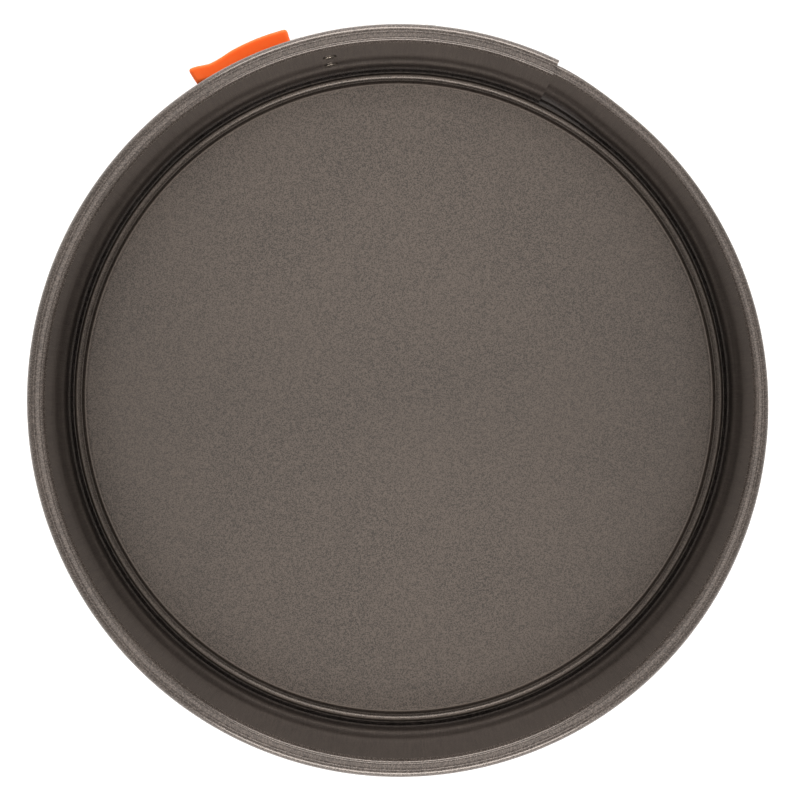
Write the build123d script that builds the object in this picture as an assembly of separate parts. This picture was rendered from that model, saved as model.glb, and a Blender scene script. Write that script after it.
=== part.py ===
from build123d import *
import math
import os

# Springform pan, millimetres. +Z up, origin on the pan's axis at the plane it rests on.
# +Y points to the band's lap. Bearings are in degrees clockwise from +Y, seen from above.

# band: one strip of sheet, bent round, its two ends lapping at the front
INSIDE_DIAMETER = 228.6
PAN_HEIGHT = 70.0
SHEET = 0.6
LAYER_GAP = 0.3           # between the two layers of the lap
CURL_RADIUS = 2.65        # rolled rim, to the middle of the sheet
CURL_SWEEP = 290.0
GROOVE_DEPTH = 1.3        # how far the foot groove stands out from the wall
GROOVE_TOP = 3.4          # height of the corner where the groove turns back in
GROOVE_RETURN = 1.6       # height of the slope from the groove back to the wall
LIP_REACH = 4.2           # width of the inturned lip under the base
BEND = 0.7
INNER_END_BEARING = 25.3
OUTER_END_BEARING = 0.2
JOGGLE_GAP = 0.6          # degrees from the inner end to the step in the outer end
JOGGLE_WIDTH = 0.45       # degrees
JOGGLE_INSET = 0.05       # thinning of the sheet in the step
BACK_BEARING = 180.0

# base: loose pressed disc
BASE_SHEET = 0.7
BASE_EDGE_CLEARANCE = 0.5  # from the base's edge to the wall
BASE_LIP_CLEARANCE = 0.3
FLOOR_INSET = 4.4         # from the wall to the raised floor's edge
FLOOR_STEP = 0.5          # from the floor's edge to the valley
FLOOR_HEIGHT = 4.2        # top of the floor above the resting plane
VALLEY_DEPTH = 1.0
VALLEY_WIDTH = 1.2
BEAD_RISE = 1.2           # crest above the valley
BEAD_RUN = 0.9            # valley to crest
FLANGE_WIDTH = 0.6
BASE_BENDS = [0.5, 0.4, 0.45, 0.6, 0.5]  # from the floor's edge out to the flange

# latch
LATCH_HEIGHT = 41.5       # middle of the latch above the resting plane
PIVOT_BEARING = -7.0
PIVOT_STANDOFF = 4.3      # pivot axis out from the band's outer face
PIVOT_PIN = 2.4
PIVOT_CLEARANCE = 0.05
PIN_HEAD = 3.7
PIN_HEAD_HEIGHT = 0.8
PIN_HEAD_ROUND = 0.48
CRANK_GAP = 0.15          # between a pin head and the bail
EAR_SHEET = 1.0
EAR_HALF_GAP = 5.0        # from the middle to the inside of an ear
EAR_RADIUS = 2.4
EAR_ROOT = 1.3            # degrees from an ear's middle to the side of its root
BRACKET_SHEET = 1.2
BRACKET_BEARINGS = (-14.5, -4.4)
BRACKET_NECK_BEARING = -9.2
BRACKET_HALF_HEIGHT = 12.0
BRACKET_CORNER = 3.0
BRACKET_NECK_LAP = 1.0    # degrees of the neck inside the plate
RIVET_BEARING = -11.5
RIVET_SPACING = 17.0
RIVET_SHANK = 3.0
RIVET_HEAD = 5.5
RIVET_HEAD_HEIGHT = 1.1
RIVET_INNER_HEIGHT = 0.3  # low, so that the base slides past
RIVET_CLEARANCE = 0.05
RIVET_SEAT = 0.02         # gap between the inner head's rim and the wall
RIVET_DRILL = 6.0         # length of the rod that cuts a rivet hole

LEVER_SHEET = 1.0
CHEEK_CLEARANCE = 0.35
LEVER_INNER = 3.4         # cheeks' inner edge, out from the band's outer face
LEVER_OUTER = 8.2         # web's outer face, out from the band's outer face
LEVER_NOSE = 2.5
LEVER_NOSE_TRIM = 0.1     # how far the nose's flats lie inside its round ends
WEB_BEARING = -12.8       # the web is cut away from here to the pivot
CHEEK_END_BEARING = -18.0
TONGUE_END_BEARING = -30.5
TONGUE_HALF_HEIGHT = 6.0
TONGUE_LAP = 0.5          # degrees of the tongue inside the web

GRIP_BEARINGS = (-32.6, -16.9)
GRIP_HALF_HEIGHT = 10.5
GRIP_INNER = 6.0          # out from the band's outer face
GRIP_THICKNESS = 5.6
GRIP_DIP_BEARING = -28.8
GRIP_DIP = 0.5
GRIP_CROWN = 0.3
GRIP_CROWN_SHIFT = 3.0    # degrees from the grip's middle to its crown
GRIP_FLARE = 1.5
GRIP_ROUND = 1.4

BAIL_WIRE = 2.0
BAIL_SIDE_CLEARANCE = 0.3
BAIL_HOLE_CLEARANCE = 0.08
BAIL_BEND = 2.2           # to the middle of the wire
BAIL_END_BEND = 1.2
BAIL_STUB = 0.1           # how far the wire's ends stand inside the cheeks
KEEPER_BEARING = 5.0      # where the bail's bar sits
KEEPER_GAP = 0.2          # between the keeper's plate and the bar
KEEPER_SHEET = 0.8
KEEPER_BEARINGS = (1.6, 9.4)
KEEPER_HALF_HEIGHT = 7.6
KEEPER_EAR_HALF_GAP = 5.4
KEEPER_WALL = 0.8         # metal round the slot
BAR_SWAY = 0.42           # bar's travel in the slot towards the lever, in crank lengths
BAR_LIFT = 1.16           # bar's travel in the slot away from the pan, in crank lengths
SLOT_PLAY = 0.3           # room left round the bar's travel
SLOT_FOOT = 0.15          # room for the bar towards the pan
SLOT_CORNER = 0.5
KEEPER_CORNER = 1.4

# derived
CRANK = (PIN_HEAD + BAIL_WIRE) / 2 + CRANK_GAP  # pivot to bail hole
LAYER = SHEET + LAYER_GAP
WALL_IN = INSIDE_DIAMETER / 2
WALL_OUT = WALL_IN + SHEET
FLOOR_RADIUS = WALL_IN - FLOOR_INSET
OUTER_FACE = WALL_OUT + LAYER
CHEEK_IN = EAR_HALF_GAP + EAR_SHEET + CHEEK_CLEARANCE
CHEEK_OUT = CHEEK_IN + LEVER_SHEET
HEAD_IN = CHEEK_OUT + CHEEK_CLEARANCE
LEG = HEAD_IN + PIN_HEAD_HEIGHT + BAIL_SIDE_CLEARANCE + BAIL_WIRE / 2
PIVOT_RADIUS = WALL_OUT + PIVOT_STANDOFF
BAR_RADIUS = OUTER_FACE + KEEPER_SHEET + KEEPER_GAP + BAIL_WIRE / 2


def polar(radius, bearing):
    """Plan position at a radius and a bearing."""
    angle = math.radians(90 - bearing)
    return radius * math.cos(angle), radius * math.sin(angle)


def along(point, bearing, distance):
    """A plan position moved clockwise along the tangent at a bearing."""
    angle = math.radians(-bearing)
    return point[0] + distance * math.cos(angle), point[1] + distance * math.sin(angle)


def sector(section, start, end):
    """Revolve a section, drawn at radius x and height z, between two bearings."""
    return Rot(0, 0, 90 - end) * revolve(section, Axis.Z, end - start)


def block(inner, outer, low, high, start, end):
    """A curved block between two radii, heights and bearings."""
    corners = [(inner, low), (outer, low), (outer, high), (inner, high)]
    with BuildSketch(Plane.XZ) as section:
        with BuildLine():
            Polyline(*corners, close=True)
        make_face()
    return sector(section.sketch, start, end)


def disc(point, radius, low, high):
    """An upright cylinder at a plan position."""
    return Pos(point[0], point[1], (low + high) / 2) * Cylinder(radius, high - low)


def slab(outline, low, high):
    """A closed plan line made solid between two heights."""
    return Pos(0, 0, low) * extrude(make_face(outline), high - low)


def sheet_section(line, thickness):
    """A sheet's section: its middle line given a thickness, with rounded edges."""
    return make_face(offset(line, thickness / 2, side=Side.BOTH).edges())


def band_section(shift, thickness, inset=0):
    """The strip's section, its middle moved out by shift from the inner layer's middle."""
    wall = WALL_IN + SHEET / 2 + shift
    foot = thickness / 2
    curl_x = WALL_IN + SHEET / 2 + CURL_RADIUS
    curl_z = PAN_HEIGHT - CURL_RADIUS - SHEET / 2
    lip = WALL_IN + GROOVE_DEPTH + SHEET / 2 - LIP_REACH
    points = [
        (lip, foot),
        (wall + GROOVE_DEPTH, foot),
        (wall + GROOVE_DEPTH, GROOVE_TOP),
        (wall, GROOVE_TOP + GROOVE_RETURN),
        (wall, curl_z),
    ]
    if shift:
        # the lapped end has no lip of its own: its foot stops above the inner layer's
        points[0] = (wall + GROOVE_DEPTH, foot)
        points.pop(1)
    with BuildLine(Plane.XZ) as line:
        FilletPolyline(*points, radius=BEND)
        CenterArc((curl_x, curl_z), CURL_RADIUS - shift, 180, -CURL_SWEEP)
    return sheet_section(line.line, thickness - 2 * inset)


def band_left():
    """The inner end's half of the strip, from the back round to the lap's inner end."""
    half = sector(band_section(0, SHEET), BACK_BEARING - 360, INNER_END_BEARING)
    return half - rivet_holes(RIVET_SHANK / 2 + RIVET_CLEARANCE)


def band_right():
    """The outer end's half, stepped out so that it laps outside the inner end."""
    step = INNER_END_BEARING + JOGGLE_GAP
    plain = sector(band_section(0, SHEET), step, BACK_BEARING)
    web = band_section(LAYER / 2, SHEET + LAYER, JOGGLE_INSET)
    joggle = sector(web, step, step + JOGGLE_WIDTH)
    lapped = sector(band_section(LAYER, SHEET), OUTER_END_BEARING, step + JOGGLE_WIDTH)
    return plain + joggle + lapped


def base_disc():
    """The loose base: edge flange on the lip, bead, valley and raised floor."""
    half = BASE_SHEET / 2
    flange_z = SHEET + BASE_LIP_CLEARANCE + half
    edge = WALL_IN - BASE_EDGE_CLEARANCE
    floor_z = FLOOR_HEIGHT - half
    valley_z = floor_z - VALLEY_DEPTH
    crest_z = valley_z + BEAD_RISE
    valley = FLOOR_RADIUS + FLOOR_STEP
    crest = valley + VALLEY_WIDTH + BEAD_RUN
    hub = FLOOR_RADIUS / 2
    points = [
        (hub, floor_z),
        (FLOOR_RADIUS - half, floor_z),
        (valley, valley_z),
        (valley + VALLEY_WIDTH / 2, valley_z),
        (crest, crest_z),
        (edge - FLANGE_WIDTH, flange_z),
        (edge, flange_z),
    ]
    with BuildLine(Plane.XZ) as line:
        FilletPolyline(*points, radius=BASE_BENDS)
    floor = disc((0, 0), hub, floor_z - half, floor_z + half)
    return floor + revolve(sheet_section(line.line, BASE_SHEET), Axis.Z)


def rivet_places():
    """Heights of the two bracket rivets."""
    return [LATCH_HEIGHT - RIVET_SPACING / 2, LATCH_HEIGHT + RIVET_SPACING / 2]


def rivet_holes(radius):
    """Two radial rods at the rivets, for holes."""
    middle = WALL_OUT + BRACKET_SHEET / 2
    rod = Pos(0, middle, 0) * Rot(90, 0, 0) * Cylinder(radius, RIVET_DRILL)
    turned = Rot(0, 0, -RIVET_BEARING) * rod
    return [Pos(0, 0, z) * turned for z in rivet_places()]


def dome(reach, height):
    """A low dome standing on the XY plane."""
    ball = (reach**2 + height**2) / (2 * height)
    return (Pos(0, 0, height - ball) * Sphere(ball)) & (
        Pos(0, 0, height / 2) * Cylinder(reach + 1, height))


def bracket_rivets():
    """Two domed rivets through the bracket and the band."""
    reach = RIVET_HEAD / 2
    inside = math.sqrt(WALL_IN**2 - reach**2) - RIVET_SEAT
    outside = WALL_OUT + BRACKET_SHEET
    length = outside - inside
    shank = Pos(0, (inside + outside) / 2, 0) * Rot(90, 0, 0) * Cylinder(RIVET_SHANK / 2, length)
    rivet = shank + Pos(0, outside, 0) * Rot(-90, 0, 0) * dome(reach, RIVET_HEAD_HEIGHT)
    rivet += Pos(0, inside, 0) * Rot(90, 0, 0) * dome(reach, RIVET_INNER_HEIGHT)
    rivet = Rot(0, 0, -RIVET_BEARING) * rivet
    return Compound([Pos(0, 0, z) * rivet for z in rivet_places()])


PIVOT = polar(PIVOT_RADIUS, PIVOT_BEARING)
CRANK_HOLE = along(PIVOT, PIVOT_BEARING, -CRANK)
BAR = polar(BAR_RADIUS, KEEPER_BEARING)


def ear_outline(point, radius, root_bearings, root_radius):
    """Plan line of an ear: a round boss joined to the plate by two tangent-like sides."""
    left = polar(root_radius, root_bearings[0])
    right = polar(root_radius, root_bearings[1])
    bearing = math.degrees(math.atan2(point[0], point[1]))
    start = along(point, bearing, -radius)
    end = along(point, bearing, radius)
    out = polar(math.hypot(*point) + radius, bearing)
    side = Line(left, start) + ThreePointArc(start, out, end)
    return side + Polyline(end, right, left)


def latch_bracket():
    """Plate on the band with two ears that carry the pivot pin."""
    low, high = LATCH_HEIGHT - BRACKET_HALF_HEIGHT, LATCH_HEIGHT + BRACKET_HALF_HEIGHT
    outer = WALL_OUT + BRACKET_SHEET
    ear_out = EAR_HALF_GAP + EAR_SHEET
    plate = block(WALL_OUT, outer, low, high, BRACKET_BEARINGS[0], BRACKET_NECK_BEARING)
    plate = fillet(plate.edges().filter_by(GeomType.LINE).filter_by(
        lambda edge: edge.length < 2 * BRACKET_SHEET), BRACKET_CORNER)
    neck = block(WALL_OUT, outer, LATCH_HEIGHT - ear_out, LATCH_HEIGHT + ear_out,
                 BRACKET_NECK_BEARING - BRACKET_NECK_LAP, BRACKET_BEARINGS[1])
    roots = (PIVOT_BEARING - EAR_ROOT, PIVOT_BEARING + EAR_ROOT)
    outline = ear_outline(PIVOT, EAR_RADIUS, roots, WALL_OUT + BRACKET_SHEET / 2)
    bracket = plate + neck
    for side in (-1, 1):
        faces = sorted([LATCH_HEIGHT + side * EAR_HALF_GAP, LATCH_HEIGHT + side * ear_out])
        bracket += slab(outline, *faces)
    bracket -= disc(PIVOT, PIVOT_PIN / 2 + PIVOT_CLEARANCE, low, high)
    return bracket - rivet_holes(RIVET_SHANK / 2 + RIVET_CLEARANCE)


def pivot_pin():
    """Headed pin through the ears and the cheeks."""
    top = HEAD_IN + PIN_HEAD_HEIGHT
    pin = disc(PIVOT, PIVOT_PIN / 2, LATCH_HEIGHT - HEAD_IN, LATCH_HEIGHT + HEAD_IN)
    for low, high in ((-top, -HEAD_IN), (HEAD_IN, top)):
        head = disc(PIVOT, PIN_HEAD / 2, LATCH_HEIGHT + low, LATCH_HEIGHT + high)
        rim = head.faces().sort_by(Axis.Z)[0 if low < 0 else -1].edges()
        pin += fillet(rim, PIN_HEAD_ROUND)
    return pin


def latch_lever():
    """Channel lever: two cheeks, a web, and a tongue inside the grip."""
    inner, outer = WALL_OUT + LEVER_INNER, WALL_OUT + LEVER_OUTER
    lever = block(outer - LEVER_SHEET, outer, LATCH_HEIGHT - CHEEK_OUT,
                  LATCH_HEIGHT + CHEEK_OUT, CHEEK_END_BEARING, WEB_BEARING)
    lever += block(outer - LEVER_SHEET, outer, LATCH_HEIGHT - TONGUE_HALF_HEIGHT,
                   LATCH_HEIGHT + TONGUE_HALF_HEIGHT, TONGUE_END_BEARING,
                   CHEEK_END_BEARING + TONGUE_LAP)
    crank_bearing = math.degrees(math.atan2(CRANK_HOLE[0], CRANK_HOLE[1]))
    for side in (-1, 1):
        low, high = sorted([LATCH_HEIGHT + side * CHEEK_IN, LATCH_HEIGHT + side * CHEEK_OUT])
        lever += block(inner, outer, low, high, CHEEK_END_BEARING, crank_bearing)
        lever += disc(PIVOT, LEVER_NOSE, low, high)
        lever += disc(CRANK_HOLE, LEVER_NOSE, low, high)
        span = (crank_bearing, PIVOT_BEARING)
        flat = LEVER_NOSE - LEVER_NOSE_TRIM
        lever += block(PIVOT_RADIUS - flat, PIVOT_RADIUS + flat, low, high, *span)
    low, high = LATCH_HEIGHT - LEG, LATCH_HEIGHT + LEG
    lever -= disc(PIVOT, PIVOT_PIN / 2 + PIVOT_CLEARANCE, low, high)
    return lever - disc(CRANK_HOLE, BAIL_WIRE / 2 + BAIL_HOLE_CLEARANCE, low, high)


def lever_grip(lever):
    """Soft sleeve with a flared thumb tip, moulded round the lever's tongue."""
    inner = WALL_OUT + GRIP_INNER
    outer = inner + GRIP_THICKNESS
    start, end = GRIP_BEARINGS
    middle = (start + end) / 2
    tip_inner = polar(inner + GRIP_FLARE, start)
    tip_outer = polar(outer + GRIP_FLARE, start)
    dip = polar(outer - GRIP_DIP, GRIP_DIP_BEARING)
    crown = polar(outer + GRIP_CROWN, middle + GRIP_CROWN_SHIFT)
    outline = Spline(tip_outer, dip, crown, polar(outer, end))
    outline += Line(polar(outer, end), polar(inner, end))
    outline += Spline(polar(inner, end), polar(inner, middle), tip_inner)
    outline += Line(tip_inner, tip_outer)
    low, high = LATCH_HEIGHT - GRIP_HALF_HEIGHT, LATCH_HEIGHT + GRIP_HALF_HEIGHT
    grip = slab(outline, low, high)
    grip = fillet(grip.edges().filter_by(Axis.Z), GRIP_ROUND)
    grip = fillet(grip.faces().sort_by(Axis.Z)[-1].edges(), GRIP_ROUND)
    grip = fillet(grip.faces().sort_by(Axis.Z)[0].edges(), GRIP_ROUND)
    return grip - lever


def draw_bail():
    """Wire link: two legs, a bar through the keeper, ends turned into the cheeks."""
    crank, bar = Vector(*CRANK_HOLE), Vector(*BAR)
    stub = CHEEK_IN - BAIL_STUB
    points = [
        (crank.X, crank.Y, LATCH_HEIGHT + stub),
        (crank.X, crank.Y, LATCH_HEIGHT + LEG),
        (bar.X, bar.Y, LATCH_HEIGHT + LEG),
        (bar.X, bar.Y, LATCH_HEIGHT - LEG),
        (crank.X, crank.Y, LATCH_HEIGHT - LEG),
        (crank.X, crank.Y, LATCH_HEIGHT - stub),
    ]
    path = FilletPolyline(*points, radius=[BAIL_END_BEND, BAIL_BEND, BAIL_BEND, BAIL_END_BEND])
    section = Plane(origin=points[0], z_dir=(0, 0, 1)) * Circle(BAIL_WIRE / 2)
    return sweep(section, path)


def keeper():
    """Plate on the outer layer with two slotted ears for the bail's bar."""
    outer = OUTER_FACE + KEEPER_SHEET
    low, high = LATCH_HEIGHT - KEEPER_HALF_HEIGHT, LATCH_HEIGHT + KEEPER_HALF_HEIGHT
    plate = block(OUTER_FACE, outer, low, high, *KEEPER_BEARINGS)
    reach = BAIL_WIRE / 2
    back, front = reach + BAR_SWAY * CRANK + SLOT_PLAY, reach + SLOT_PLAY
    turn = Rot(0, 0, -KEEPER_BEARING)
    slot_low = BAR_RADIUS - reach - SLOT_FOOT
    slot_high = BAR_RADIUS + reach + BAR_LIFT * CRANK + SLOT_PLAY
    wide = back + front
    centre = (front - back) / 2
    slot = Pos(centre, (slot_low + slot_high) / 2, 0) * Rectangle(wide, slot_high - slot_low)
    slot = fillet(slot.vertices(), SLOT_CORNER)
    ear_top = slot_high + KEEPER_WALL
    ear_low = outer - KEEPER_SHEET / 2
    wide_ear = wide + 2 * KEEPER_WALL
    ear = Pos(centre, (ear_low + ear_top) / 2, 0) * Rectangle(wide_ear, ear_top - ear_low)
    ear = fillet(ear.vertices().sort_by(Axis.Y)[-2:], KEEPER_CORNER)
    for side in (-1, 1):
        base = LATCH_HEIGHT + side * (KEEPER_EAR_HALF_GAP + KEEPER_SHEET / 2)
        place = Pos(0, 0, base - KEEPER_SHEET / 2) * turn
        plate += place * extrude(ear, KEEPER_SHEET)
        plate -= Pos(0, 0, base - KEEPER_SHEET) * turn * extrude(slot, 2 * KEEPER_SHEET)
    return plate


os.makedirs("parts", exist_ok=True)
lever = latch_lever()
nodes = {
    "band_left": band_left(),
    "band_right": band_right(),
    "base_disc": base_disc(),
    "latch_bracket": latch_bracket(),
    "bracket_rivets": bracket_rivets(),
    "pivot_pin": pivot_pin(),
    "latch_lever": lever,
    "lever_grip": lever_grip(lever),
    "draw_bail": draw_bail(),
    "keeper": keeper(),
}
for name, shape in nodes.items():
    export_step(shape, f"parts/{name}.step")
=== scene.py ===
"""A springform pan: coated band and base, plated over-centre latch and a soft orange grip."""
import logging
import math
from dataclasses import dataclass, field
from enum import Enum

import bpy
from mathutils import Matrix, Vector


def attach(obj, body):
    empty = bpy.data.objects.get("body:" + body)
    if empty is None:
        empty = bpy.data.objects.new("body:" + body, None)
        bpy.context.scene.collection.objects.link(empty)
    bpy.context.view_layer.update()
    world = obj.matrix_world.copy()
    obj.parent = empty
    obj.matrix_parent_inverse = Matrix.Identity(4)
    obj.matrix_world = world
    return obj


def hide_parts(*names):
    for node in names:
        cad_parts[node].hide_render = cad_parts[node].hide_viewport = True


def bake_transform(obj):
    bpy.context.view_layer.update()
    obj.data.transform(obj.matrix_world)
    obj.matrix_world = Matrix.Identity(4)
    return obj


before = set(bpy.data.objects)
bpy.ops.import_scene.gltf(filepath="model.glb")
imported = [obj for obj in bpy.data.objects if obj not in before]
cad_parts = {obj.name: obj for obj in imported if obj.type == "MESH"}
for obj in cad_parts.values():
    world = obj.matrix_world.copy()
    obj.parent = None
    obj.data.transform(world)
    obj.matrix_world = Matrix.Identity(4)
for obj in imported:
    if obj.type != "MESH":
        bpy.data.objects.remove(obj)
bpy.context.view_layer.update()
LOG = logging.getLogger("springform")

# Lengths are in metres and angles in degrees. Vertices nearer than JOIN are merged, NEAR is how
# close two heights or radii count as one, and edges sharper than SHARP are rounded.
MM = 0.001
JOIN = 0.002 * MM
NODE_JOIN = 0.003 * MM
NEAR = 0.01 * MM
SHARP = 50.0


class Body(Enum):
    """The CAD bodies that pieces ride on."""

    BAND = "band"
    OUTER_END = "outer_end"
    LEVER = "lever"
    BAIL = "bail"
    BASE = "base"


class Slot(Enum):
    """The record's material slots."""

    BAND = "band_coating"
    BASE = "base_coating"
    RIVET = "rivet_coating"
    STEEL = "latch_steel"
    GRIP = "soft_grip"


# ---------------------------------------------------------------- shaders


class Term:
    """A number in a shader: a socket or a constant, with arithmetic that adds Math nodes."""

    def __init__(self, paint: "Paint", value: object) -> None:
        """Wrap a socket or a number for use in one paint."""
        self.paint = paint
        self.value = value

    def _join(self, operation: str, *others: object) -> "Term":
        """Add a Math node over this term and others, and wrap its result.

        Args:
            operation: The node's operation.
            others: Its further inputs, as numbers, sockets or Terms.

        Returns:
            The node's result.
        """
        values = [self.value] + [o.value if isinstance(o, Term) else o for o in others]
        node = self.paint.node("ShaderNodeMath", {"operation": operation}, dict(enumerate(values)))
        return Term(self.paint, node.outputs[0])

    def __add__(self, other: object) -> "Term":
        """Sum."""
        return self._join("ADD", other)

    __radd__ = __add__

    def __mul__(self, other: object) -> "Term":
        """Product."""
        return self._join("MULTIPLY", other)

    __rmul__ = __mul__

    def __sub__(self, other: object) -> "Term":
        """Difference."""
        return self._join("SUBTRACT", other)

    def __rsub__(self, other: object) -> "Term":
        """Difference, the other way round."""
        return Term(self.paint, other)._join("SUBTRACT", self)

    def __pow__(self, other: object) -> "Term":
        """Power."""
        return self._join("POWER", other)

    def step(self, low: float, high: float) -> "Term":
        """Rise smoothly from 0 at low to 1 at high.

        Args:
            low: Value at which the result leaves 0.
            high: Value at which the result reaches 1.

        Returns:
            The stepped term.
        """
        node = self.paint.node(
            "ShaderNodeMapRange",
            {"interpolation_type": "SMOOTHSTEP"},
            {"Value": self.value, "From Min": low, "From Max": high},
        )
        return Term(self.paint, node.outputs[0])


class Paint:
    """One node material with a Principled shader, and the means to add nodes to it."""

    def __init__(self, name: str) -> None:
        """Make an empty material ready for its finish."""
        self.material = bpy.data.materials.new(name)
        self.material.use_nodes = True
        self.tree = self.material.node_tree
        self.tree.nodes.clear()
        self.shader = self.node("ShaderNodeBsdfPrincipled", {}, {})
        output = self.node("ShaderNodeOutputMaterial", {}, {})
        self.tree.links.new(self.shader.outputs[0], output.inputs[0])
        self.place = self.node("ShaderNodeTexCoord", {}, {}).outputs["Object"]

    def node(self, kind: str, settings: dict, inputs: dict) -> bpy.types.Node:
        """Add a node.

        Args:
            kind: The node's type.
            settings: Its own properties, set first.
            inputs: Socket name or number to a value, a socket or a Term.

        Returns:
            The new node.
        """
        node = self.tree.nodes.new(kind)
        for key, value in settings.items():
            setattr(node, key, value)
        for key, value in inputs.items():
            value = value.value if isinstance(value, Term) else value
            if isinstance(value, bpy.types.NodeSocket):
                self.tree.links.new(value, node.inputs[key])
            else:
                node.inputs[key].default_value = value
        return node

    def noise(self, size: float, detail: float = 2.0, where: object = None) -> Term:
        """Noise from 0 to 1.

        Args:
            size: Size of its grains in metres.
            detail: Finer layers added to it.
            where: Socket to read the place from, or None for the object's own.

        Returns:
            The noise.
        """
        place = self.place if where is None else where
        node = self.node(
            "ShaderNodeTexNoise", {}, {"Vector": place, "Scale": 1 / size, "Detail": detail}
        )
        return Term(self, node.outputs["Fac"])

    def axes(self) -> tuple[Term, Term, Term]:
        """The object's X, Y and Z in metres."""
        node = self.node("ShaderNodeSeparateXYZ", {}, {0: self.place})
        return tuple(Term(self, socket) for socket in node.outputs)

    def radius(self) -> Term:
        """Distance from the pan's axis in metres."""
        x, y, _ = self.axes()
        return (x * x + y * y) ** 0.5

    def mix(self, factor: Term, first: object, second: object) -> bpy.types.NodeSocket:
        """A colour between two.

        Args:
            factor: 0 for the first colour and 1 for the second.
            first: The first colour.
            second: The second colour.

        Returns:
            The mixed colour's socket.
        """
        node = self.node(
            "ShaderNodeMix", {"data_type": "RGBA"}, {"Factor": factor, 6: first, 7: second}
        )
        return node.outputs[2]

    def bump(self, height: Term, depth: float, strength: float = 1.0) -> None:
        """Raise the surface.

        Args:
            height: Relief from 0 to 1.
            depth: What 1 stands for, in metres.
            strength: How much of it shows.
        """
        node = self.node(
            "ShaderNodeBump", {}, {"Height": height, "Distance": depth, "Strength": strength}
        )
        self.tree.links.new(node.outputs[0], self.shader.inputs["Normal"])

    def set(self, **inputs: object) -> None:
        """Set or link the shader's sockets.

        Args:
            inputs: Socket name, with underscores for spaces, to a value, a socket or a Term.
        """
        for key, value in inputs.items():
            socket = self.shader.inputs[key.replace("_", " ")]
            value = value.value if isinstance(value, Term) else value
            if isinstance(value, bpy.types.NodeSocket):
                self.tree.links.new(value, socket)
            else:
                socket.default_value = value


def rgba(colour: tuple[float, float, float]) -> tuple[float, float, float, float]:
    """A colour with full alpha."""
    return (*colour, 1.0)


def shade(colour: tuple[float, float, float], factor: float) -> tuple:
    """A colour made lighter or darker, with full alpha."""
    return rgba(tuple(min(1.0, c * factor) for c in colour))


@dataclass(frozen=True)
class NonStick:
    """Dark non-stick coating with fine metallic flecks over faint rolling lines.

    Each pair of shades is for the pan's wall or floor and for its rim. The rings at the listed
    radii are painted highlight lines, and the rim's lighter colour starts at the height rim_from.
    """

    name: str
    colour: tuple[float, float, float]
    roughness: float
    fleck: float
    fleck_size: float = 0.42 * MM
    metallic: float = 0.35
    rolled: float = 0.0
    # Radii of painted highlight lines, standing in for the lamps' glint on the base's raised floor
    # edge and bead crest.
    painted_highlights: tuple[float, ...] = ()
    rim_from: float = 1.0
    rim_colour: tuple[float, float, float] = (0.100, 0.083, 0.073)
    rim_blend: float = 1.2 * MM
    rim_rougher: float = 0.14
    dark_shades: tuple[float, float] = (0.4, 0.45)
    light_shades: tuple[float, float] = (2.0, 1.6)
    coarse_ratio: float = 2.6
    grain_mix: tuple[float, float] = (0.85, 0.15)
    grain_range: tuple[float, float] = (0.36, 0.64)
    grain_gloss: float = 0.12
    cloud_size: float = 38 * MM
    cloud_range: tuple[float, float] = (0.3, 0.7)
    cloud_tone: float = 0.12
    cloud_gloss: float = 0.06
    # Inner and outer half widths and strength of the painted highlight rings.
    highlight_core: float = 0.05 * MM
    highlight_reach: float = 0.3 * MM
    highlight_tone: float = 1.1
    line_size: float = 0.9 * MM
    fleck_relief: float = 0.35
    relief: float = 0.03 * MM

    def make(self) -> bpy.types.Material:
        """Build the coating's material."""
        paint = Paint(self.name)
        fine = paint.noise(self.fleck_size, 1.5)
        coarse = paint.noise(self.fleck_size * self.coarse_ratio, 1.0)
        cloud = paint.noise(self.cloud_size, 2.0)
        _, _, height = paint.axes()
        rim = height.step(self.rim_from, self.rim_from + self.rim_blend)
        grain = (fine * self.grain_mix[0] + coarse * self.grain_mix[1]).step(*self.grain_range)
        tone = grain * self.fleck + cloud.step(*self.cloud_range) * self.cloud_tone
        dark, light = (
            paint.mix(rim, shade(self.colour, own), shade(self.rim_colour, on_rim))
            for own, on_rim in (self.dark_shades, self.light_shades)
        )
        radius = paint.radius()
        # Painted highlight: each listed ring is painted lighter all round, in place of the lamps'
        # glint on the edge and crest.
        for line in self.painted_highlights:
            inner = radius.step(line - self.highlight_reach, line - self.highlight_core)
            outer = radius.step(line + self.highlight_core, line + self.highlight_reach)
            tone = tone + inner * (1 - outer) * self.highlight_tone
        gloss = (grain - 0.5) * self.grain_gloss + (cloud - 0.5) * self.cloud_gloss
        paint.set(
            Base_Color=paint.mix(tone, dark, light),
            Roughness=self.roughness + rim * self.rim_rougher + gloss,
            Metallic=self.metallic,
        )
        ring = paint.node("ShaderNodeCombineXYZ", {}, {0: radius, 2: height}).outputs[0]
        lines = paint.noise(self.line_size, 3.0, ring)
        paint.bump(fine * self.fleck_relief + lines * self.rolled, self.relief, 0.6)
        return paint.material


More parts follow.
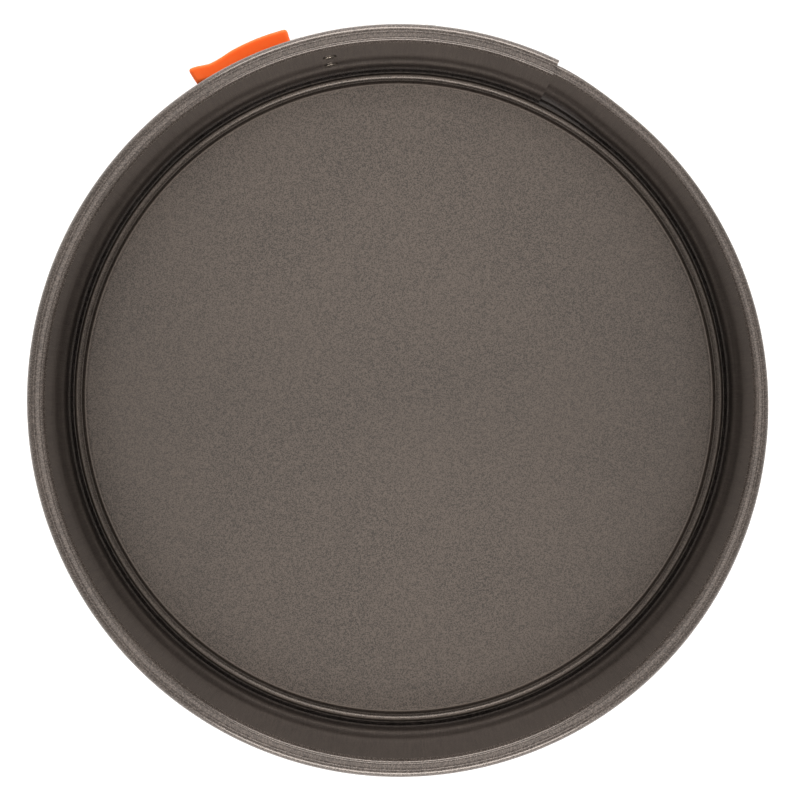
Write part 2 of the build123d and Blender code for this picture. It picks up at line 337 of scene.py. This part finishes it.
@dataclass(frozen=True)
class PlatedSteel:
    """Zinc-plated stamped steel: fine rolling grain, faint clouding and rubbed bright spots."""

    name: str
    colour: tuple[float, float, float] = (0.47, 0.46, 0.44)
    roughness: float = 0.3
    stretch: float = 14.0
    grain_size: float = 1.4 * MM
    grain_gloss: float = 0.12
    cloud_size: float = 4 * MM
    cloud_range: tuple[float, float] = (0.35, 0.7)
    cloud_shade: float = 0.85
    cloud_gloss: float = 0.2
    relief: float = 0.01 * MM

    def make(self) -> bpy.types.Material:
        """Build the plating's material."""
        paint = Paint(self.name)
        stretched = paint.node(
            "ShaderNodeMapping", {}, {"Vector": paint.place, "Scale": (1.0, 1.0, self.stretch)}
        ).outputs[0]
        grain = paint.noise(self.grain_size, 3.0, stretched)
        cloud = paint.noise(self.cloud_size, 2.0)
        dull = shade(self.colour, self.cloud_shade)
        gloss = (cloud - 0.5) * self.cloud_gloss + (grain - 0.5) * self.grain_gloss
        paint.set(
            Base_Color=paint.mix(cloud.step(*self.cloud_range), dull, rgba(self.colour)),
            Roughness=self.roughness + gloss,
            Metallic=1.0,
        )
        paint.bump(grain, self.relief, 0.5)
        return paint.material


@dataclass(frozen=True)
class Silicone:
    """Soft orange silicone with a fine moulded texture, cloudy tone and painted highlights along
    its edges.
    """

    name: str
    colour: tuple[float, float, float] = (0.9, 0.108, 0.006)
    # pale is the colour of the painted edge highlights and of the lighter clouds.
    pale: tuple[float, float, float] = (1.0, 0.30, 0.09)
    roughness: float = 0.55
    grain_size: float = 0.35 * MM
    grain_gloss: float = 0.15
    cloud_size: float = 7 * MM
    cloud_range: tuple[float, float] = (0.4, 0.8)
    cloud_tone: float = 0.12
    cloud_gloss: float = 0.08
    # Pointiness range and strength of the painted edge highlights.
    edge_range: tuple[float, float] = (0.50, 0.56)
    edge_highlight: float = 0.25
    depths: tuple[float, float, float] = (4 * MM, 1.5 * MM, 0.8 * MM)
    relief: float = 0.02 * MM

    def make(self) -> bpy.types.Material:
        """Build the silicone's material."""
        paint = Paint(self.name)
        grain = paint.noise(self.grain_size, 2.0)
        cloud = paint.noise(self.cloud_size, 2.0)
        # Painted highlight: sharp convex edges, found by pointiness, are painted paler; the cloud
        # adds the silicone's own uneven tone.
        edge = Term(paint, paint.node("ShaderNodeNewGeometry", {}, {}).outputs["Pointiness"])
        painted_highlights = edge.step(*self.edge_range) * self.edge_highlight
        painted_highlights = painted_highlights + cloud.step(*self.cloud_range) * self.cloud_tone
        gloss = (grain - 0.5) * self.grain_gloss + (cloud - 0.5) * self.cloud_gloss
        paint.set(
            Base_Color=paint.mix(painted_highlights, rgba(self.colour), rgba(self.pale)),
            Roughness=self.roughness + gloss,
            Specular_IOR_Level=0.2,
            Subsurface_Weight=0.12,
            Subsurface_Radius=self.depths,
            Subsurface_Scale=0.3,
        )
        paint.bump(grain, self.relief, 0.5)
        return paint.material


# ---------------------------------------------------------------- making


def pick_none() -> None:
    """Leave edit mode and deselect every object."""
    if bpy.context.object and bpy.context.object.mode != "OBJECT":
        bpy.ops.object.mode_set(mode="OBJECT")
    bpy.ops.object.select_all(action="DESELECT")


def pick(piece: bpy.types.Object) -> None:
    """Make one object the only selected and the active one."""
    pick_none()
    piece.select_set(True)
    bpy.context.view_layer.objects.active = piece


def apply_modifier(piece: bpy.types.Object, kind: str, **settings: object) -> None:
    """Add a modifier and apply it.

    Args:
        piece: The object to finish.
        kind: The modifier's type.
        settings: Its properties.
    """
    pick(piece)
    modifier = piece.modifiers.new(kind.title(), kind)
    for key, value in settings.items():
        setattr(modifier, key, value)
    bpy.ops.object.modifier_apply(modifier=modifier.name)


def settle(piece: bpy.types.Object) -> None:
    """Apply an object's place, so that it sits at the origin with its place in its mesh."""
    pick(piece)
    bpy.ops.object.transform_apply(location=True, rotation=True, scale=True)


def smooth(piece: bpy.types.Object, degrees: float = 38.0) -> None:
    """Shade smooth, with edges sharper than an angle left crisp."""
    pick(piece)
    bpy.ops.object.shade_smooth_by_angle(angle=math.radians(degrees))


def dress(piece: bpy.types.Object, material: bpy.types.Material) -> None:
    """Give an object its one material.

    Args:
        piece: The object.
        material: Its finish.
    """
    piece.data.materials.clear()
    piece.data.materials.append(material)


def bearing_of(place: Vector) -> float:
    """Degrees clockwise from +Y, from -180 to 180."""
    return math.degrees(math.atan2(place.x, place.y))


def rise(value: float, low: float, high: float) -> float:
    """Smooth step from 0 at low to 1 at high."""
    t = min(1.0, max(0.0, (value - low) / (high - low)))
    return t * t * (3 - 2 * t)


def bell(value: float, middle: float, width: float) -> float:
    """Smooth bump of 1 at a middle, falling away over a width."""
    return math.exp(-(((value - middle) / width) ** 2))


@dataclass
class Section:
    """The middle line of a pressed sheet, as radius and height in metres.

    The roll's sizes are the angle that its end tucks under, and the places across its top,
    depth and half width of the lines that rolling leaves.
    """

    points: list[tuple[float, float]] = field(default_factory=list)
    straight: float = 89.0
    bend_share: float = 0.48
    roll_steps: int = 64
    tuck: float = 70.0
    tuck_steps: int = 8
    lines: tuple[float, float] = (-1.7 * MM, 0.3 * MM)
    line_depth: float = 0.11 * MM
    line_width: float = 0.15 * MM

    def run(self, corners: list[tuple[float, float]], bend: float, steps: int = 6) -> "Section":
        """Add a run of straight stretches with rounded corners.

        Args:
            corners: The run's corners.
            bend: Radius of each rounding.
            steps: Stretches in each rounding.

        Returns:
            The section itself.
        """
        self.points.append(corners[0])
        for before, corner, after in zip(corners, corners[1:], corners[2:]):
            here = Vector(corner)
            back, on = (Vector(before) - here), (Vector(after) - here)
            half = back.angle(on) / 2
            if half > math.radians(self.straight):
                self.points.append(corner)
                continue
            room = self.bend_share * min(back.length, on.length)
            radius = min(bend, room * math.tan(half))
            reach = radius / math.tan(half)
            first, last = here + back.normalized() * reach, here + on.normalized() * reach
            middle = here + (back.normalized() + on.normalized()).normalized() * (
                radius / math.sin(half)
            )
            for step in range(steps + 1):
                spoke = (first - middle).lerp(last - middle, step / steps)
                self.points.append(tuple(middle + spoke.normalized() * radius))
        self.points.append(corners[-1])
        return self

    def curl(
        self, centre: tuple[float, float], radius: float, flat: tuple[float, float]
    ) -> "Section":
        """Add a roll that leaves the wall at nine o'clock and turns over a flattened top.

        Args:
            centre: Radius and height of the roll's middle.
            radius: The roll's own radius.
            flat: Flatness of the inner and the outer shoulder, 1 for round and less for flatter.

        Returns:
            The section itself.
        """
        turns = [math.pi * (1 - step / self.roll_steps) for step in range(1, self.roll_steps + 1)]
        tuck = math.radians(self.tuck)
        turns += [-tuck * step / self.tuck_steps for step in range(1, self.tuck_steps + 1)]
        for turn in turns:
            across, up = math.cos(turn), math.sin(turn)
            if up > 0:
                power = flat[0] if across < 0 else flat[1]
                across = math.copysign(abs(across) ** power, across)
                up = up**power
            x, z = radius * across, radius * up
            for line in self.lines:
                z -= self.line_depth * bell(x, line, self.line_width) * (up > 0)
            self.points.append((centre[0] + x, centre[1] + z))
        return self

    def spin(self, name: str, start: float, end: float, pitch: float = 1.0) -> bpy.types.Object:
        """Draw the line at the first bearing and spin it clockwise to the second.

        Args:
            name: Name of the new object.
            start: First bearing in degrees.
            end: Last bearing in degrees.
            pitch: Degrees from one copy of the line to the next.

        Returns:
            The sheet's middle surface.
        """
        across = Vector((math.sin(math.radians(start)), math.cos(math.radians(start)), 0))
        places = [across * r + Vector((0, 0, z)) for r, z in self.points]
        pick_none()
        bpy.ops.mesh.primitive_plane_add(size=1 * MM, location=places[0])
        piece = bpy.context.object
        piece.name = piece.data.name = name
        settle(piece)
        bpy.ops.object.mode_set(mode="EDIT")
        bpy.ops.mesh.select_all(action="SELECT")
        bpy.ops.mesh.merge(type="CENTER")
        for here, there in zip(places, places[1:]):
            bpy.ops.mesh.extrude_region_move(
                TRANSFORM_OT_translate={"value": there - here, "orient_type": "GLOBAL"}
            )
        bpy.ops.mesh.select_all(action="SELECT")
        bpy.ops.mesh.spin(
            steps=max(4, round((end - start) / pitch)),
            angle=math.radians(end - start),
            center=(0, 0, 0),
            axis=(0, 0, 1),
        )
        bpy.ops.mesh.select_all(action="SELECT")
        bpy.ops.mesh.remove_doubles(threshold=JOIN)
        bpy.ops.mesh.normals_make_consistent(inside=False)
        bpy.ops.object.mode_set(mode="OBJECT")
        return piece


def thicken(piece: bpy.types.Object, sheet: float) -> None:
    """Give a middle surface its sheet thickness, equally to both sides."""
    apply_modifier(piece, "SOLIDIFY", thickness=sheet, offset=0.0, use_even_offset=True)
    smooth(piece)


@dataclass
class Band:
    """The strip: grooved foot, straight wall and rolled rim, lapped at +Y.

    The ends and the back's start are bearings in degrees clockwise from +Y.
    """

    finish: NonStick
    sheet: float = 0.6 * MM
    inside: float = 114.3 * MM
    height: float = 70 * MM
    curl_radius: float = 2.65 * MM
    curl_flat: tuple[float, float] = (0.62, 1.0)
    curl_taper: float = 1.25 * MM
    nest_play: float = 0.45 * MM
    groove: float = 1.3 * MM
    groove_top: float = 3.4 * MM
    groove_return: float = 1.6 * MM
    lip: float = 4.2 * MM
    bend: float = 0.7 * MM
    layer: float = 0.9 * MM
    inner_end: float = 25.3
    outer_end: float = 0.2
    back: float = 150.0
    step_gap: float = 0.3
    step_out: float = 14.0
    nest_run: float = 2.9
    oval: float = 0.0105
    oval_from: float = 30 * MM

    def section(self) -> Section:
        """The strip's section, from the lip to the end of the roll."""
        wall = self.inside + self.sheet / 2
        foot = self.sheet / 2
        out = wall + self.groove
        section = Section().run(
            [
                (out - self.lip, foot),
                (out, foot),
                (out, self.groove_top),
                (wall, self.groove_top + self.groove_return),
                (wall, self.height / 2),
                (wall, self.curl_height()),
            ],
            self.bend,
        )
        centre = (wall + self.curl_radius, self.curl_height())
        return section.curl(centre, self.curl_radius, self.curl_flat)

    def curl_height(self) -> float:
        """Height of the middle of the roll."""
        return self.height - self.curl_radius - self.sheet / 2

    def swage(self, piece: bpy.types.Object) -> None:
        """Step the outer end out over the inner one, and make its roll small enough to nest.

        Args:
            piece: The outer end's middle surface.
        """
        wall = self.inside + self.sheet / 2
        middle = self.curl_height()
        step_start = self.inner_end + self.step_gap
        nest_start = self.inner_end - self.nest_run
        for vertex in piece.data.vertices:
            place = vertex.co
            bearing = bearing_of(place)
            out = self.layer * (1 - rise(bearing, step_start, self.inner_end + self.step_out))
            less = self.curl_taper * (1 - rise(bearing, self.inner_end, self.back))
            less += self.nest_play * (1 - rise(bearing, nest_start, self.inner_end))
            radius = place.to_2d().length
            height = place.z
            new = radius + out
            beside = radius > wall + NEAR and height > self.height / 2
            if height > middle - NEAR or beside:
                share = 1 - less / self.curl_radius
                new = wall + out + (radius - wall) * share
                height = middle + (height - middle) * share
            vertex.co = (place.x * new / radius, place.y * new / radius, height)
        self.drop_lip(piece)

    def drop_lip(self, piece: bpy.types.Object) -> None:
        """Cut the inturned lip off the lapped stretch, where the inner end has its own.

        Args:
            piece: The outer end's middle surface.
        """
        pick(piece)
        bpy.ops.object.mode_set(mode="EDIT")
        bpy.ops.mesh.select_mode(type="FACE")
        bpy.ops.mesh.select_all(action="DESELECT")
        bpy.ops.object.mode_set(mode="OBJECT")
        for face in piece.data.polygons:
            low = face.center.z < self.sheet / 2 + NEAR
            face.select = low and bearing_of(face.center) < self.inner_end + self.step_gap
        bpy.ops.object.mode_set(mode="EDIT")
        bpy.ops.mesh.delete(type="FACE")
        bpy.ops.mesh.select_mode(type="VERT")
        bpy.ops.object.mode_set(mode="OBJECT")

    def relax(self, piece: bpy.types.Object) -> None:
        """Let the free upper part spring slightly oval, as a strip held round at its foot does."""
        for vertex in piece.data.vertices:
            vertex.co.x *= 1 - self.oval * rise(vertex.co.z, self.oval_from, self.height)

    def build(self) -> None:
        """Make the strip in three stretches: two ends and the springy back between them."""
        material = self.finish.make()
        section = self.section()
        inner = section.spin("band_inner_end", -self.back, self.inner_end)
        outer = section.spin("band_outer_end", self.outer_end, self.back)
        back = section.spin("band_back", self.back, 360 - self.back)
        self.swage(outer)
        for piece in (inner, outer, back):
            thicken(piece, self.sheet)
            self.relax(piece)
            dress(piece, material)
        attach(inner, Body.BAND.value)
        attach(outer, Body.OUTER_END.value)
        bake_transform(back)
        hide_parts("band_left")
        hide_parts("band_right")
        LOG.info("band: %s", [len(p.data.polygons) for p in (inner, outer, back)])


@dataclass
class Base:
    """The loose base: edge flange, round bead, narrow valley and raised floor."""

    finish: NonStick
    sheet: float = 0.7 * MM
    edge: float = 113.8 * MM
    flange: float = 0.6 * MM
    flange_height: float = 1.25 * MM
    floor_radius: float = 109.9 * MM
    floor_height: float = 3.85 * MM
    valley_depth: float = 1.0 * MM
    valley_width: float = 1.2 * MM
    bead_rise: float = 1.2 * MM
    bead_run: float = 0.9 * MM
    edge_rise: float = 0.3 * MM
    edge_foot: float = 1.5 * MM
    edge_crest: float = 0.8 * MM
    slope: float = 0.5 * MM
    bend: float = 0.4 * MM

    def build(self) -> None:
        """Spin the pressing's section and dress it."""
        valley = self.floor_radius + self.slope
        valley_height = self.floor_height - self.valley_depth
        crest = valley + self.valley_width + self.bead_run
        raised = self.floor_height + self.edge_rise
        section = Section().run(
            [
                (0, self.floor_height),
                (self.floor_radius / 2, self.floor_height),
                (self.floor_radius - self.edge_foot, self.floor_height),
                (self.floor_radius - self.edge_crest, raised),
                (self.floor_radius - self.sheet / 2, raised),
                (valley, valley_height),
                (valley + self.valley_width / 2, valley_height),
                (crest, valley_height + self.bead_rise),
                (self.edge - self.flange, self.flange_height),
                (self.edge, self.flange_height),
            ],
            self.bend,
        )
        piece = section.spin("base_pressing", 0, 360)
        thicken(piece, self.sheet)
        dress(piece, self.finish.make())
        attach(piece, Body.BASE.value)
        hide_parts("base_disc")
        LOG.info("base: %d faces", len(piece.data.polygons))


def break_edges(piece: bpy.types.Object, width: float, segments: int) -> None:
    """Round the sharp edges of an object.

    Args:
        piece: The object.
        width: Width of the rounding.
        segments: Facets in it.
    """
    apply_modifier(
        piece, "BEVEL", width=width, segments=segments, limit_method="ANGLE",
        angle_limit=math.radians(SHARP), use_clamp_overlap=True,
    )


@dataclass(frozen=True)
class Turned:
    """One turned stretch of a rivet: from and to, outwards from the wall's inner face."""

    start: float
    end: float
    radius: float
    rounding: float


@dataclass
class LatchSteel:
    """The latch's stamped, turned and bent steel pieces, with their edges broken.

    The two rivets stand one above the other, rivet_gap to each side of rivet_height, at the
    angle rivet_turn from +Y.
    """

    finish: PlatedSteel
    rivet_finish: NonStick
    edge: float = 0.13 * MM
    flat: float = 0.5
    wall: float = 114.3 * MM
    rivet_height: float = 41.5 * MM
    rivet_gap: float = 8.5 * MM
    rivet_turn: float = 11.5
    shank: Turned = Turned(-0.45 * MM, 1.9 * MM, 1.45 * MM, 0.05 * MM)
    button: Turned = Turned(-0.45 * MM, 0.1 * MM, 2.3 * MM, 0.42 * MM)
    head: Turned = Turned(1.75 * MM, 2.85 * MM, 2.75 * MM, 0.9 * MM)

    def soften(self, node: str, body: Body, material: bpy.types.Material) -> None:
        """Copy a CAD node, join its triangles, break its edges and dress it.

        Args:
            node: The CAD node.
            body: The body it moves with.
            material: Its finish.
        """
        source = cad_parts[node]
        piece = source.copy()
        piece.data = source.data.copy()
        piece.name = piece.data.name = f"{node}_finished"
        piece.parent = None
        bpy.context.scene.collection.objects.link(piece)
        pick(piece)
        bpy.ops.object.mode_set(mode="EDIT")
        bpy.ops.mesh.select_all(action="SELECT")
        bpy.ops.mesh.remove_doubles(threshold=NODE_JOIN)
        bpy.ops.mesh.dissolve_limited(angle_limit=math.radians(self.flat))
        bpy.ops.object.mode_set(mode="OBJECT")
        break_edges(piece, self.edge, 2)
        smooth(piece)
        dress(piece, material)
        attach(piece, body.value)
        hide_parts(node)
        LOG.info("%s: %d faces", piece.name, len(piece.data.polygons))

    def rivets(self, material: bpy.types.Material) -> None:
        """Turn the two rivets: a domed head outside, a shank and a flat button inside.

        Args:
            material: Their finish.
        """
        stretches = []
        for side in (-1, 1):
            for turned in (self.shank, self.button, self.head):
                out = self.wall + (turned.start + turned.end) / 2
                pick_none()
                bpy.ops.mesh.primitive_cylinder_add(
                    vertices=48, radius=turned.radius, depth=turned.end - turned.start,
                    rotation=(math.radians(90), 0, 0),
                    location=(0, out, self.rivet_height + side * self.rivet_gap),
                )
                stretch = bpy.context.object
                settle(stretch)
                break_edges(stretch, turned.rounding, 6)
                stretches.append(stretch)
        pick_none()
        for stretch in stretches:
            stretch.select_set(True)
        piece = bpy.context.view_layer.objects.active = stretches[0]
        bpy.ops.object.join()
        piece.name = piece.data.name = "rivet_pair"
        piece.rotation_euler = (0, 0, math.radians(self.rivet_turn))
        settle(piece)
        smooth(piece)
        dress(piece, material)
        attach(piece, Body.BAND.value)
        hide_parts("bracket_rivets")

    def build(self) -> None:
        """Finish every steel piece."""
        steel = self.finish.make()
        coated = self.rivet_finish.make()
        self.soften("latch_bracket", Body.BAND, steel)
        self.soften("pivot_pin", Body.BAND, steel)
        self.soften("latch_lever", Body.LEVER, steel)
        self.soften("draw_bail", Body.BAIL, steel)
        self.soften("keeper", Body.OUTER_END, steel)
        self.rivets(coated)


@dataclass
class Grip:
    """The soft sleeve on the lever: follows the rim, with a flared tip for the thumb.

    start and end are bearings, and shares run along the sleeve from 0 at the flared tip. A
    (middle, width) pair says where a swelling or hollow lies and how far it spreads.
    """

    finish: Silicone
    inner: float = 120.9 * MM
    thick: float = 5.6 * MM
    start: float = -32.6
    end: float = -16.9
    height: float = 41.5 * MM
    half_height: float = 10.5 * MM
    flare: float = 1.5 * MM
    dip: float = 0.55 * MM
    crown: float = 0.35 * MM
    flare_run: float = 0.22
    dip_place: tuple[float, float] = (0.27, 0.13)
    crown_place: tuple[float, float] = (0.72, 0.3)
    hollow: float = 0.35 * MM
    hollow_width: float = 5 * MM
    hollow_start: float = 0.1
    hollow_end: tuple[float, float] = (0.45, 0.62)
    outer_from: float = 0.2
    edge: float = 1.5 * MM
    edge_shape: float = 0.62
    cuts_along: int = 40
    cuts_up: int = 12
    crease: float = 60.0

    def lift(self, share: float) -> float:
        """How far the sleeve stands out of its own arc.

        Args:
            share: Share of its length from the tip.

        Returns:
            The distance outwards.
        """
        tip = self.flare * (1 - rise(share, 0.0, self.flare_run))
        dip = self.dip * bell(share, *self.dip_place)
        crown = self.crown * bell(share, *self.crown_place)
        return tip - dip + crown

    def press(self, share: float, height: float) -> float:
        """How deep the thumb's hollow is in the outer face.

        Args:
            share: Share of the sleeve's length from the tip.
            height: Height from the sleeve's middle line.

        Returns:
            The depth inwards.
        """
        deep = self.hollow * bell(height, 0.0, self.hollow_width)
        return deep * rise(share, 0.0, self.hollow_start) * (1 - rise(share, *self.hollow_end))

    def build(self) -> None:
        """Round a block, bend it to the rim and dress it."""
        middle = self.inner + self.thick / 2
        length = math.radians(self.end - self.start) * middle
        pick_none()
        bpy.ops.mesh.primitive_cube_add(size=1, location=(0, 0, 0))
        piece = bpy.context.object
        piece.name = piece.data.name = "grip_sleeve"
        piece.scale = (length, self.thick, 2 * self.half_height)
        settle(piece)
        apply_modifier(
            piece, "BEVEL", width=self.edge, segments=5, limit_method="NONE",
            profile=self.edge_shape,
        )
        pick(piece)
        bpy.ops.object.mode_set(mode="EDIT")
        for cut in range(1, self.cuts_along):
            bpy.ops.mesh.select_all(action="SELECT")
            x = length * (cut / self.cuts_along - 0.5)
            bpy.ops.mesh.bisect(plane_co=(x, 0, 0), plane_no=(1, 0, 0))
        for cut in range(1, self.cuts_up):
            bpy.ops.mesh.select_all(action="SELECT")
            z = 2 * self.half_height * (cut / self.cuts_up - 0.5)
            bpy.ops.mesh.bisect(plane_co=(0, 0, z), plane_no=(0, 0, 1))
        bpy.ops.object.mode_set(mode="OBJECT")
        for vertex in piece.data.vertices:
            share = vertex.co.x / length + 0.5
            bearing = math.radians(self.start + (self.end - self.start) * share)
            radius = middle + vertex.co.y + self.lift(share)
            if vertex.co.y > self.thick * self.outer_from:
                radius -= self.press(share, vertex.co.z)
            vertex.co = (
                radius * math.sin(bearing), radius * math.cos(bearing), vertex.co.z + self.height
            )
        smooth(piece, self.crease)
        dress(piece, self.finish.make())
        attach(piece, Body.LEVER.value)
        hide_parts("lever_grip")
        LOG.info("grip: %d faces", len(piece.data.polygons))


# ---------------------------------------------------------------- studio


@dataclass(frozen=True)
class Softbox:
    """One soft light: its place, its two sides and its power."""

    name: str
    place: tuple[float, float, float]
    sides: tuple[float, float]
    watts: float


@dataclass
class Studio:
    """A plain pale floor, soft lights at +Y, at -Y and on top, and the camera overhead.

    The room's stops give its brightness by height, from 0 at the horizon to 1 straight up.
    """

    rim_height: float = 70 * MM
    camera_rise: float = 678 * MM
    camera_off: tuple[float, float] = (-3.2 * MM, 13.2 * MM)
    aim: tuple[float, float] = (0.05 * MM, 0.6 * MM)
    lens: float = 96.0
    sensor: float = 36.0
    clip: tuple[float, float] = (0.05, 20.0)
    warmth: tuple[float, float, float] = (1.0, 0.965, 0.93)
    north: Softbox = Softbox("north", (0, 1.5, 0.6), (1.7, 0.4), 28)
    south: Softbox = Softbox("south", (0, -1.5, 0.6), (1.7, 0.4), 29)
    top: Softbox = Softbox("top", (0, 0, 2.2), (1.2, 1.2), 9)
    floor_side: float = 16
    floor_shades: tuple[float, float] = (0.86, 0.9)
    floor_glow: float = 0.3
    room_light: float = 1.12
    room_stops: tuple[tuple[float, float], ...] = (
        (0.0, 0.8), (0.5, 0.75), (0.58, 0.45), (0.9, 0.55), (0.985, 0.5), (0.998, 0.28),
    )

    def camera(self) -> None:
        """Put the camera over the pan, leaning a little back to its centre."""
        data = bpy.data.cameras.new("overhead")
        data.lens, data.sensor_width = self.lens, self.sensor
        data.clip_start, data.clip_end = self.clip
        camera = bpy.data.objects.new("overhead", data)
        bpy.context.scene.collection.objects.link(camera)
        camera.location = (*self.camera_off, self.rim_height + self.camera_rise)
        back = (camera.location - Vector((*self.aim, self.rim_height))).normalized()
        right = Vector((0, 1, 0)).cross(back).normalized()
        turn = Matrix((right, back.cross(right), back)).transposed()
        camera.rotation_euler = turn.to_euler()
        bpy.context.scene.camera = camera

    def hang(self, box: Softbox) -> None:
        """Hang a soft light that faces the pan.

        Args:
            box: The light.
        """
        data = bpy.data.lights.new(box.name, "AREA")
        data.shape, data.energy = "RECTANGLE", box.watts
        data.size, data.size_y = box.sides
        data.color = self.warmth
        light = bpy.data.objects.new(box.name, data)
        bpy.context.scene.collection.objects.link(light)
        light.location = box.place
        light.rotation_euler = (-Vector(box.place)).to_track_quat("-Z", "Y").to_euler()

    def floor(self) -> None:
        """Lay the pale floor."""
        pick_none()
        bpy.ops.mesh.primitive_plane_add(size=self.floor_side, location=(0, 0, 0))
        piece = bpy.context.object
        piece.name = "floor"
        paint = Paint("pale_floor")
        speck = paint.noise(3 * MM)
        first, second = (rgba((value, value, value)) for value in self.floor_shades)
        paint.set(
            Base_Color=paint.mix(speck, first, second),
            Roughness=0.8,
            Emission_Color=rgba((1.0, 1.0, 1.0)),
            Emission_Strength=self.floor_glow,
        )
        piece.data.materials.append(paint.material)

    def world(self) -> None:
        """Surround the set with a soft grey room, lighter low down."""
        world = bpy.data.worlds.new("room")
        bpy.context.scene.world = world
        world.use_nodes = True
        tree = world.node_tree
        tree.nodes.clear()
        place = tree.nodes.new("ShaderNodeTexCoord")
        split = tree.nodes.new("ShaderNodeSeparateXYZ")
        ramp = tree.nodes.new("ShaderNodeValToRGB")
        light = tree.nodes.new("ShaderNodeBackground")
        output = tree.nodes.new("ShaderNodeOutputWorld")
        tree.links.new(place.outputs["Generated"], split.inputs[0])
        tree.links.new(split.outputs[2], ramp.inputs[0])
        tree.links.new(ramp.outputs[0], light.inputs[0])
        tree.links.new(light.outputs[0], output.inputs[0])
        first, *between, last = self.room_stops
        for stop, (position, value) in zip(ramp.color_ramp.elements, (first, last)):
            stop.position = position
            stop.color = shade(self.warmth, value)
        for position, value in between:
            ramp.color_ramp.elements.new(position).color = shade(self.warmth, value)
        light.inputs[1].default_value = self.room_light

    def build(self) -> None:
        """Set the whole stage."""
        self.camera()
        self.floor()
        self.world()
        for box in (self.north, self.south, self.top):
            self.hang(box)
        view = bpy.context.scene.view_settings
        view.view_transform, view.look = "Standard", "None"


def main() -> None:
    """Build every sub-assembly in order and log what was made."""
    logging.basicConfig(level=logging.INFO, format="%(name)s %(message)s")
    Studio().build()
    band_coat = NonStick(
        "band_coat", (0.050, 0.0405, 0.0365), 0.1, 0.6, rolled=0.5, rim_from=66 * MM
    )
    base_coat = NonStick(
        # The base's coat gets painted highlight rings at its raised floor edge and bead crest.
        "base_coat", (0.087, 0.071, 0.060), 0.36, 1.0,
        fleck_size=0.36 * MM, painted_highlights=(109.35 * MM, 112.5 * MM),
    )
    rivet_coat = NonStick("rivet_coat", (0.3, 0.26, 0.22), 0.15, 0.3, metallic=0.9)
    Band(band_coat).build()
    Base(base_coat).build()
    LatchSteel(PlatedSteel("zinc_plate"), rivet_coat).build()
    Grip(Silicone("orange_silicone")).build()


if __name__ == "__main__":
    main()
